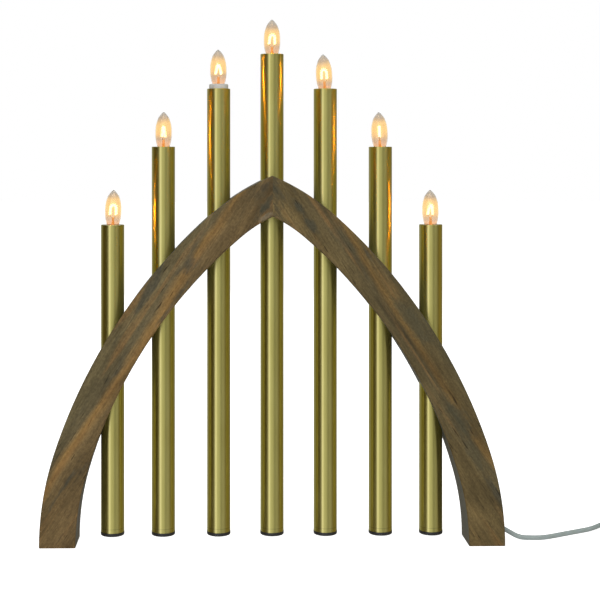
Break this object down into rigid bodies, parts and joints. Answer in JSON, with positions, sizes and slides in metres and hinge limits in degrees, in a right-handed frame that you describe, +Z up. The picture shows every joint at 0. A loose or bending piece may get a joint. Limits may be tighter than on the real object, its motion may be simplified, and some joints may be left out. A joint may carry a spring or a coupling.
{
  "type": "candle arch",
  "caption": "Pointed wooden candle arch with upright brass tubes, each topped by a lit screw-in flame bulb, on a mains cord with a flat plug.",
  "frame": {"origin": "on the table, midway between the feet and midway through the wood", "axes": "+Z up, +X to the right seen from the front, +Y from the front to the back"},
  "size_m": [0.739, 0.0991, 0.4962],
  "materials": {
    "stained_wood": "grey-brown stain, satin",
    "satin_brass": "satin lacquered",
    "black_plastic": "moulded",
    "holder_plastic": "moulded",
    "thread_brass": "rolled sheet",
    "bulb_glass": "clear",
    "filament": "glowing",
    "wire_sleeve": "extruded",
    "cord_sheath": "soft extruded",
    "cord_fittings": "moulded",
    "pin_metal": "nickel plated"
  },
  "bodies": {
    "arch": {"arch_left_half": "stained_wood", "arch_right_half": "stained_wood", "apex_dowels": "stained_wood", "back_strip_left": "stained_wood", "back_strip_right": "stained_wood", "tube_1": "satin_brass", "tube_2": "satin_brass", "tube_3": "satin_brass", "tube_4": "satin_brass", "tube_5": "satin_brass", "tube_6": "satin_brass", "tube_7": "satin_brass", "tube_end_plugs": "black_plastic", "lamp_holder_1": "holder_plastic", "lamp_holder_2": "holder_plastic", "lamp_holder_3": "holder_plastic", "lamp_holder_4": "holder_plastic", "lamp_holder_5": "holder_plastic", "lamp_holder_6": "holder_plastic", "lamp_holder_7": "holder_plastic", "screw_shells": "thread_brass", "link_wires": "wire_sleeve", "supply_wires": "wire_sleeve", "cord_lead": "cord_sheath", "cord_coil": "cord_sheath", "cord_tail": "cord_sheath", "cord_stop": "cord_fittings", "cord_tie": "cord_fittings", "plug_body": "cord_fittings", "plug_pins": "pin_metal"},
    "contact_1": {"centre_contact_1": "thread_brass"},
    "bulb_1": {"bulb_glass_1": "bulb_glass", "bulb_filament_1": "filament", "bulb_cap_1": "thread_brass"},
    "contact_2": {"centre_contact_2": "thread_brass"},
    "bulb_2": {"bulb_glass_2": "bulb_glass", "bulb_filament_2": "filament", "bulb_cap_2": "thread_brass"},
    "contact_3": {"centre_contact_3": "thread_brass"},
    "bulb_3": {"bulb_glass_3": "bulb_glass", "bulb_filament_3": "filament", "bulb_cap_3": "thread_brass"},
    "contact_4": {"centre_contact_4": "thread_brass"},
    "bulb_4": {"bulb_glass_4": "bulb_glass", "bulb_filament_4": "filament", "bulb_cap_4": "thread_brass"},
    "contact_5": {"centre_contact_5": "thread_brass"},
    "bulb_5": {"bulb_glass_5": "bulb_glass", "bulb_filament_5": "filament", "bulb_cap_5": "thread_brass"},
    "contact_6": {"centre_contact_6": "thread_brass"},
    "bulb_6": {"bulb_glass_6": "bulb_glass", "bulb_filament_6": "filament", "bulb_cap_6": "thread_brass"},
    "contact_7": {"centre_contact_7": "thread_brass"},
    "bulb_7": {"bulb_glass_7": "bulb_glass", "bulb_filament_7": "filament", "bulb_cap_7": "thread_brass"}
  },
  "joints": [
    {"name": "contact_1_lift", "type": "slide", "parent": "arch", "child": "contact_1", "axis": [0, 0, 1], "range_m": [0, 0.00182]},
    {"name": "bulb_1_turn", "type": "hinge", "parent": "contact_1", "child": "bulb_1", "pos_m": [-0.1513, 0, 0.301], "axis": [0, 0, 1], "range_deg": [0, 360]},
    {"name": "contact_2_lift", "type": "slide", "parent": "arch", "child": "contact_2", "axis": [0, 0, 1], "range_m": [0, 0.00182]},
    {"name": "bulb_2_turn", "type": "hinge", "parent": "contact_2", "child": "bulb_2", "pos_m": [-0.1032, 0, 0.375], "axis": [0, 0, 1], "range_deg": [0, 360]},
    {"name": "contact_3_lift", "type": "slide", "parent": "arch", "child": "contact_3", "axis": [0, 0, 1], "range_m": [0, 0.00182]},
    {"name": "bulb_3_turn", "type": "hinge", "parent": "contact_3", "child": "bulb_3", "pos_m": [-0.0507, 0, 0.4344], "axis": [0, 0, 1], "range_deg": [0, 360]},
    {"name": "contact_4_lift", "type": "slide", "parent": "arch", "child": "contact_4", "axis": [0, 0, 1], "range_m": [0, 0.00182]},
    {"name": "bulb_4_turn", "type": "hinge", "parent": "contact_4", "child": "bulb_4", "pos_m": [0, 0, 0.463], "axis": [0, 0, 1], "range_deg": [0, 360]},
    {"name": "contact_5_lift", "type": "slide", "parent": "arch", "child": "contact_5", "axis": [0, 0, 1], "range_m": [0, 0.00182]},
    {"name": "bulb_5_turn", "type": "hinge", "parent": "contact_5", "child": "bulb_5", "pos_m": [0.0507, 0, 0.43], "axis": [0, 0, 1], "range_deg": [0, 360]},
    {"name": "contact_6_lift", "type": "slide", "parent": "arch", "child": "contact_6", "axis": [0, 0, 1], "range_m": [0, 0.00182]},
    {"name": "bulb_6_turn", "type": "hinge", "parent": "contact_6", "child": "bulb_6", "pos_m": [0.1032, 0, 0.375], "axis": [0, 0, 1], "range_deg": [0, 360]},
    {"name": "contact_7_lift", "type": "slide", "parent": "arch", "child": "contact_7", "axis": [0, 0, 1], "range_m": [0, 0.00182]},
    {"name": "bulb_7_turn", "type": "hinge", "parent": "contact_7", "child": "bulb_7", "pos_m": [0.1513, 0, 0.301], "axis": [0, 0, 1], "range_deg": [0, 360]}
  ],
  "couplings": [
    {"joint": "contact_1_lift", "follows": "bulb_1_turn", "m_per_rad": 0.0002887},
    {"joint": "contact_2_lift", "follows": "bulb_2_turn", "m_per_rad": 0.0002887},
    {"joint": "contact_3_lift", "follows": "bulb_3_turn", "m_per_rad": 0.0002887},
    {"joint": "contact_4_lift", "follows": "bulb_4_turn", "m_per_rad": 0.0002887},
    {"joint": "contact_5_lift", "follows": "bulb_5_turn", "m_per_rad": 0.0002887},
    {"joint": "contact_6_lift", "follows": "bulb_6_turn", "m_per_rad": 0.0002887},
    {"joint": "contact_7_lift", "follows": "bulb_7_turn", "m_per_rad": 0.0002887}
  ]
}
